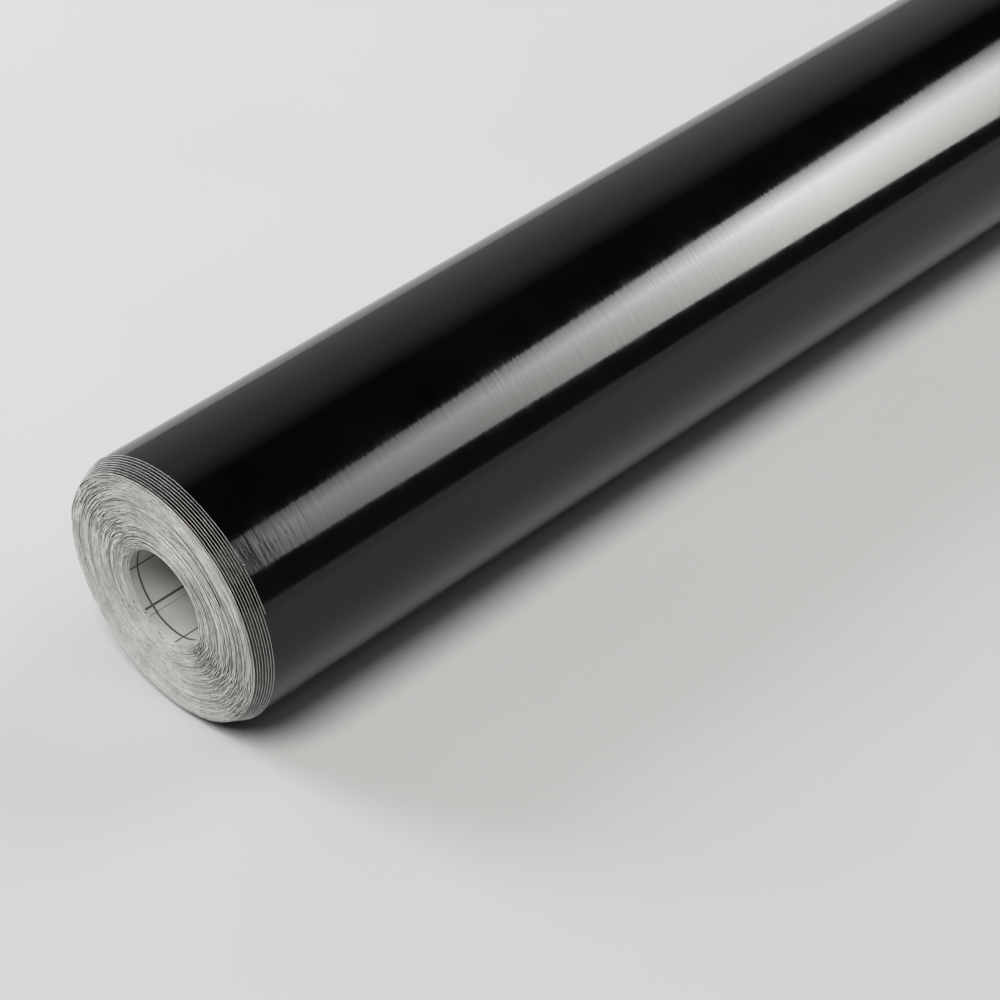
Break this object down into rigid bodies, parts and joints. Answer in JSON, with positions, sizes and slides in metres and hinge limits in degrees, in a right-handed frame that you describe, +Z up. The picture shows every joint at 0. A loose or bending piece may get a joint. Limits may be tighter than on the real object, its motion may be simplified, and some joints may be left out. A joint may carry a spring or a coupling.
{
  "type": "roll of sign vinyl",
  "caption": "Coreless roll of glossy self-adhesive sign vinyl on a paper liner, with telescoped outer wraps, a free end that lifts and a film that peels from its liner.",
  "frame": {"origin": "on the table under the middle of the roll lying on its side, at the bottom centre of its bounding box", "axes": "+X along the roll's axis, away from the flush end and towards the end where the outer wraps stand proud; +Z up; the cut tail edge faces -Y"},
  "size_m": [0.6144, 0.0624, 0.0626],
  "materials": {
    "film": "high-gloss black PVC film",
    "adhesive": "clear tacky acrylic adhesive",
    "liner": "matte white release paper, grid printed on its back"
  },
  "bodies": {
    "coil": {"coil_film": "film", "coil_adhesive": "adhesive", "coil_liner": "liner"},
    "wrap_1": {"wrap_1_film": "film", "wrap_1_adhesive": "adhesive", "wrap_1_liner": "liner"},
    "wrap_2": {"wrap_2_film": "film", "wrap_2_adhesive": "adhesive", "wrap_2_liner": "liner"},
    "wrap_3": {"wrap_3_film": "film", "wrap_3_adhesive": "adhesive", "wrap_3_liner": "liner"},
    "wrap_4": {"wrap_4_film": "film", "wrap_4_adhesive": "adhesive", "wrap_4_liner": "liner"},
    "wrap_5": {"wrap_5_film": "film", "wrap_5_adhesive": "adhesive", "wrap_5_liner": "liner"},
    "wrap_6": {"wrap_6_film": "film", "wrap_6_adhesive": "adhesive", "wrap_6_liner": "liner"},
    "wrap_7": {"wrap_7_film": "film", "wrap_7_adhesive": "adhesive", "wrap_7_liner": "liner"},
    "wrap_8": {"wrap_8_film": "film", "wrap_8_adhesive": "adhesive", "wrap_8_liner": "liner"},
    "tail": {"tail_film": "film", "tail_adhesive": "adhesive", "tail_liner": "liner"},
    "flap": {"flap_film": "film", "flap_adhesive": "adhesive"}
  },
  "joints": [
    {"name": "telescope_1", "type": "slide", "parent": "coil", "child": "wrap_1", "axis": [1, 0, 0], "range_m": [-0.00054, 0.0015]},
    {"name": "telescope_2", "type": "slide", "parent": "coil", "child": "wrap_2", "axis": [1, 0, 0], "range_m": [-0.00108, 0.003]},
    {"name": "telescope_3", "type": "slide", "parent": "coil", "child": "wrap_3", "axis": [1, 0, 0], "range_m": [-0.00162, 0.0045]},
    {"name": "telescope_4", "type": "slide", "parent": "coil", "child": "wrap_4", "axis": [1, 0, 0], "range_m": [-0.00216, 0.006]},
    {"name": "telescope_5", "type": "slide", "parent": "coil", "child": "wrap_5", "axis": [1, 0, 0], "range_m": [-0.0027, 0.0075]},
    {"name": "telescope_6", "type": "slide", "parent": "coil", "child": "wrap_6", "axis": [1, 0, 0], "range_m": [-0.00324, 0.009]},
    {"name": "telescope_7", "type": "slide", "parent": "coil", "child": "wrap_7", "axis": [1, 0, 0], "range_m": [-0.00378, 0.0105]},
    {"name": "telescope_8", "type": "slide", "parent": "coil", "child": "wrap_8", "axis": [1, 0, 0], "range_m": [-0.00432, 0.012]},
    {"name": "tail_lift", "type": "hinge", "parent": "wrap_8", "child": "tail", "pos_m": [0, 0.00799, 0.06153], "axis": [-1, 0, 0], "range_deg": [0, 60], "stiffness_Nm_per_rad": 0.03},
    {"name": "film_peel", "type": "hinge", "parent": "tail", "child": "flap", "pos_m": [0, -0.01135, 0.06052], "axis": [-1, 0, 0], "range_deg": [0, 75]}
  ],
  "couplings": [
    {"joint": "telescope_1", "follows": "telescope_8", "ratio": 0.125},
    {"joint": "telescope_2", "follows": "telescope_8", "ratio": 0.25},
    {"joint": "telescope_3", "follows": "telescope_8", "ratio": 0.375},
    {"joint": "telescope_4", "follows": "telescope_8", "ratio": 0.5},
    {"joint": "telescope_5", "follows": "telescope_8", "ratio": 0.625},
    {"joint": "telescope_6", "follows": "telescope_8", "ratio": 0.75},
    {"joint": "telescope_7", "follows": "telescope_8", "ratio": 0.875}
  ]
}
